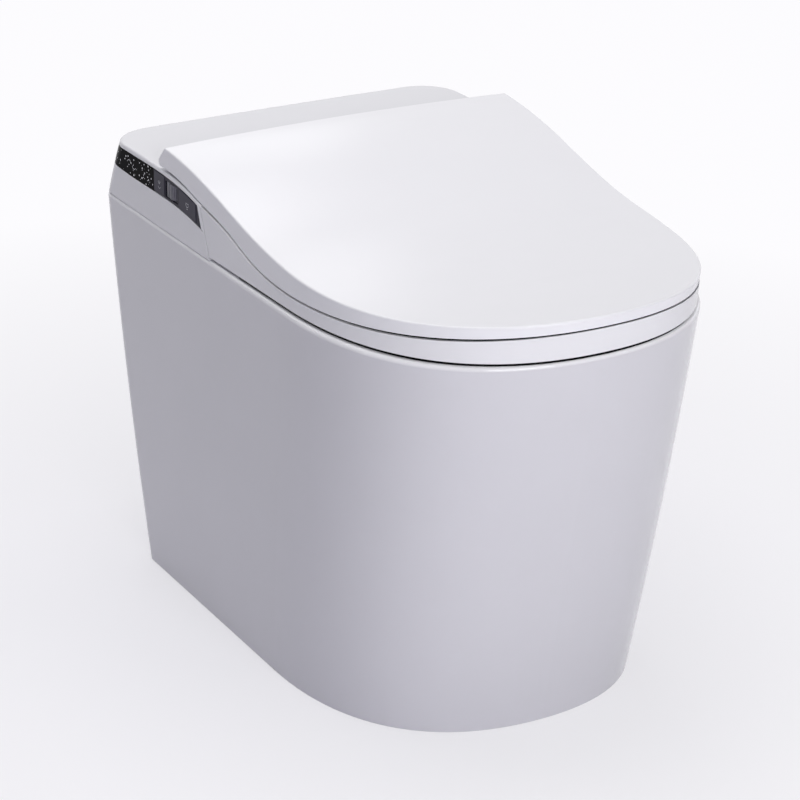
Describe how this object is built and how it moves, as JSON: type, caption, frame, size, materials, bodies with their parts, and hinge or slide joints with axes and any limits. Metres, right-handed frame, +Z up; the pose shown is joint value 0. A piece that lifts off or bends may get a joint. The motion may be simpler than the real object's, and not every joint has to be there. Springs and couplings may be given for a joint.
{
  "type": "smart toilet with heated seat",
  "caption": "One-piece skirted toilet with a heated lift-up seat and S-curved lid, a rear housing with side buttons and thumb wheel, and a washing nozzle and dryer.",
  "frame": {"origin": "centre of the bounding box at floor level", "axes": "+Z up, -Y towards the front of the bowl, +Y towards the wall, +X across, away from the side controls"},
  "size_m": [0.3998, 0.6698, 0.5065],
  "materials": {
    "ceramic": "glossy white vitreous glaze",
    "cover_plastic": "gloss white",
    "seat_plastic": "gloss white",
    "lid_plastic": "gloss white",
    "trim_plastic": "pale satin",
    "black_glass": "black glazed strip",
    "bezel_plastic": "satin dark grey",
    "button_plastic": "satin dark grey",
    "wheel_plastic": "ribbed grey",
    "inner_plastic": "moulded light grey",
    "block_plastic": "gloss white",
    "dark_plastic": "moulded dark grey",
    "heater_plastic": "heat resistant ivory",
    "supply_case": "folded sheet",
    "gear_plastic": "natural acetal",
    "nozzle_plastic": "gloss white",
    "sensor_plastic": "dark sleeve",
    "heating_foil": "heating foil",
    "board": "green laminate",
    "carbon": "pressed carbon",
    "nozzle_steel": "stainless tube",
    "motor_steel": "zinc plated can",
    "frame_steel": "pressed steel",
    "screw_steel": "stainless",
    "brass": "turned brass",
    "rubber": "moulded rubber"
  },
  "bodies": {
    "root": {"ceramic_body": "ceramic", "outlet_seal": "rubber", "chassis_tub": "inner_plastic", "chassis_screws": "screw_steel", "rear_cover": "cover_plastic", "side_glass_strip": "black_glass", "control_bezel": "bezel_plastic", "strip_end_trim": "trim_plastic", "display_board": "board", "switch_boards": "board", "wheel_holder": "inner_plastic", "hinge_frame": "frame_steel", "hinge_pins": "screw_steel", "nozzle_rail": "inner_plastic", "nozzle_motor": "motor_steel", "outlet_block": "block_plastic", "dryer_fan_housing": "dark_plastic", "dryer_fan_motor": "motor_steel", "cartridge_sleeve": "inner_plastic", "inlet_fitting": "brass", "inlet_valve": "dark_plastic", "water_heater": "heater_plastic", "wash_pump": "dark_plastic", "flush_valve": "dark_plastic", "flush_pipe": "inner_plastic", "power_supply": "supply_case", "control_board": "board", "cord_gland": "rubber"},
    "seat": {"seat_top_shell": "seat_plastic", "seat_bottom_shell": "seat_plastic", "seat_heating_foil": "heating_foil", "seat_temperature_sensor": "sensor_plastic", "seat_bumpers": "rubber"},
    "lid": {"lid_shell": "lid_plastic", "lid_inner_panel": "lid_plastic", "lid_bumpers": "rubber"},
    "wash_button": {"wash_button": "button_plastic"},
    "flush_button": {"flush_button": "button_plastic"},
    "thumb_wheel": {"thumb_wheel": "wheel_plastic"},
    "nozzle": {"nozzle_wand": "nozzle_steel", "nozzle_tip": "nozzle_plastic"},
    "nozzle_gear": {"nozzle_drive_gear": "gear_plastic"},
    "dryer_flap": {"dryer_flap": "nozzle_plastic"},
    "fan": {"dryer_fan_wheel": "gear_plastic"},
    "cartridge": {"deodoriser_cartridge": "cover_plastic", "carbon_block": "carbon"}
  },
  "joints": [
    {"name": "seat_lift", "type": "hinge", "parent": "root", "child": "seat", "pos_m": [0, 0.185, 0.4838], "axis": [-1, 0, 0], "range_deg": [0, 95]},
    {"name": "lid_open", "type": "hinge", "parent": "seat", "child": "lid", "pos_m": [0, 0.185, 0.4838], "axis": [1, 0, 0], "range_deg": [-100, 0]},
    {"name": "wash_press", "type": "slide", "parent": "root", "child": "wash_button", "axis": [1, 0, 0], "range_m": [0, 0.001], "stiffness_N_per_m": 1500, "springref_m": -0.0004},
    {"name": "flush_press", "type": "slide", "parent": "root", "child": "flush_button", "axis": [1, 0, 0], "range_m": [0, 0.001], "stiffness_N_per_m": 1500, "springref_m": -0.0004},
    {"name": "wheel_turn", "type": "hinge", "parent": "root", "child": "thumb_wheel", "pos_m": [-0.1853, 0.1595, 0.459], "axis": [0, 0, 1], "continuous": true},
    {"name": "nozzle_slide", "type": "slide", "parent": "root", "child": "nozzle", "axis": [0, -0.9397, -0.342], "range_m": [0, 0.115]},
    {"name": "nozzle_gear_turn", "type": "hinge", "parent": "root", "child": "nozzle_gear", "pos_m": [0, 0.118, 0.41739], "axis": [-1, 0, 0], "range_deg": [0, 823.64]},
    {"name": "dryer_flap_swing", "type": "hinge", "parent": "root", "child": "dryer_flap", "pos_m": [0.044, 0.0398, 0.394], "axis": [-1, 0, 0], "range_deg": [0, 70]},
    {"name": "fan_spin", "type": "hinge", "parent": "root", "child": "fan", "pos_m": [0.096, 0.196, 0.372], "axis": [0, 0, 1], "continuous": true},
    {"name": "cartridge_pull", "type": "slide", "parent": "root", "child": "cartridge", "axis": [1, 0, 0], "range_m": [0, 0.07]}
  ],
  "couplings": [
    {"joint": "nozzle_gear_turn", "follows": "nozzle_slide", "rad_per_m": 125}
  ]
}
